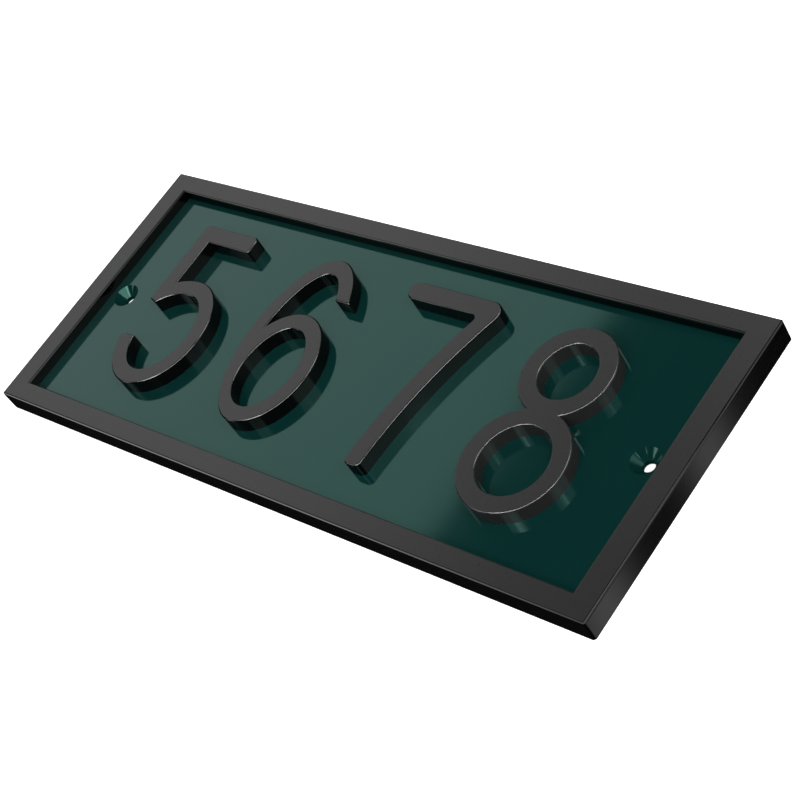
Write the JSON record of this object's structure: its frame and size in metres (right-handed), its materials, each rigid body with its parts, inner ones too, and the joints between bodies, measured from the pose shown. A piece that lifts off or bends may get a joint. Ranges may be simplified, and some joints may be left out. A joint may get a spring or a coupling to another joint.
{
  "type": "house number plaque",
  "caption": "Long rectangular house number plaque: a glossy panel in a raised dark surround, with raised numerals and a countersunk screw hole at each end.",
  "frame": {"origin": "middle of the plaque's back face", "axes": "+X along the length towards the last numeral, +Y up the wall as it hangs, +Z out of its face"},
  "size_m": [0.3, 0.12, 0.011],
  "materials": {
    "panel_gloss": "mirror gloss dark green acrylic",
    "surround_black": "black, satin front face and gloss walls",
    "numeral_black": "black, satin front faces and gloss walls"
  },
  "bodies": {
    "root": {"panel": "panel_gloss", "surround": "surround_black", "numeral_5": "numeral_black", "numeral_6": "numeral_black", "numeral_7": "numeral_black", "numeral_8": "numeral_black"}
  },
  "joints": []
}
